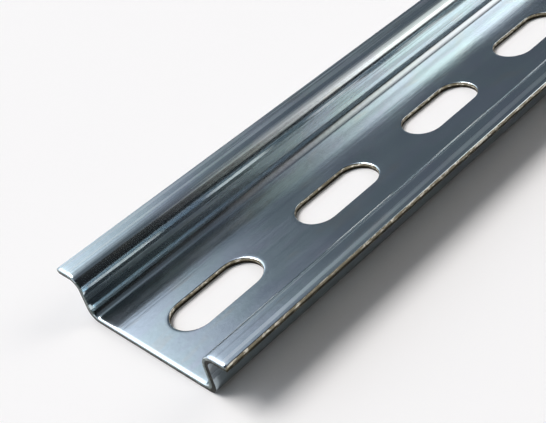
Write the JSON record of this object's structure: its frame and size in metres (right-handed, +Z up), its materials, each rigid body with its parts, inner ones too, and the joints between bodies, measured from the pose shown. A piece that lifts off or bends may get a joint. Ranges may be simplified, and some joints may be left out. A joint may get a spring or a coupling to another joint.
{
  "type": "din rail",
  "caption": "Slotted top-hat mounting rail, 35 mm wide and 7.5 mm high, of bright zinc-plated steel strip.",
  "frame": {"origin": "middle of the flat underside that is screwed to a panel", "axes": "+X along the rail, +Y across it, +Z up through the open side between the lips"},
  "size_m": [0.3, 0.035, 0.0075],
  "materials": {
    "zinc_plated_steel": "bright zinc plating with a clear blue passivate"
  },
  "bodies": {
    "root": {"rail": "zinc_plated_steel"}
  },
  "joints": []
}
